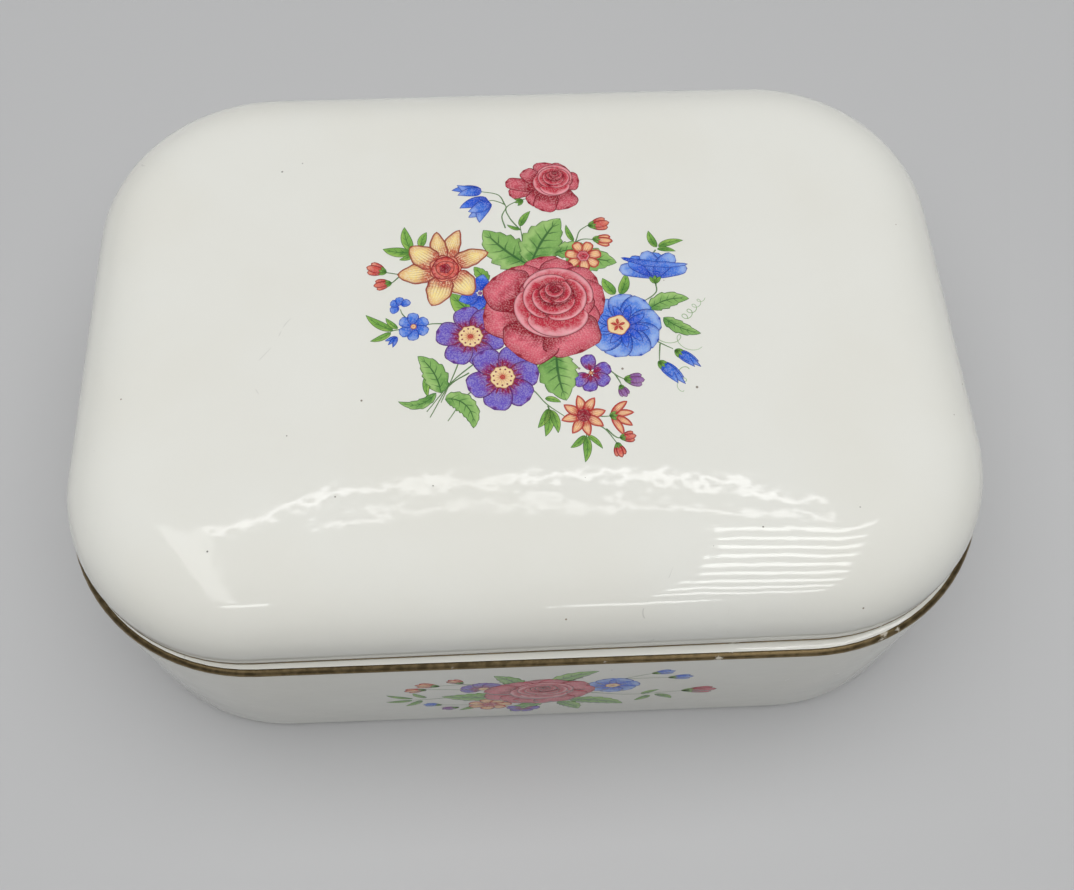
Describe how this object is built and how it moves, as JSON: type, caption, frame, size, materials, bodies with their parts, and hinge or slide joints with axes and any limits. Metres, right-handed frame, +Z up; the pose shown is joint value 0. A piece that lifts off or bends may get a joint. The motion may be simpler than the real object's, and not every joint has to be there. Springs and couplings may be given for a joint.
{
  "type": "trinket box",
  "caption": "Oblong porcelain trinket box with rounded corners and a loose pillow-shaped lift-off lid, gilt edge lines and printed flowers.",
  "frame": {"origin": "centre of the base's footprint, on the surface that the box stands on", "axes": "+X along the length, to the right as seen from the printed front; +Y from the printed front wall to the back; +Z up, the way the lid lifts off"},
  "size_m": [0.12, 0.0881, 0.0415],
  "materials": {
    "glazed_porcelain": "glossy clear glaze on warm white porcelain",
    "gilding": "worn fired gold line, dark from age",
    "flower_enamel": "fired flower print under gloss"
  },
  "bodies": {
    "base": {"base": "glazed_porcelain", "base_gilt_line": "gilding", "front_spray_transfer": "flower_enamel"},
    "lid": {"lid": "glazed_porcelain", "lid_gilt_line": "gilding", "lid_bouquet_transfer": "flower_enamel"}
  },
  "joints": [
    {"name": "lid_lift", "type": "slide", "parent": "base", "child": "lid", "axis": [0, 0, 1], "range_m": [0, 0.06]}
  ]
}
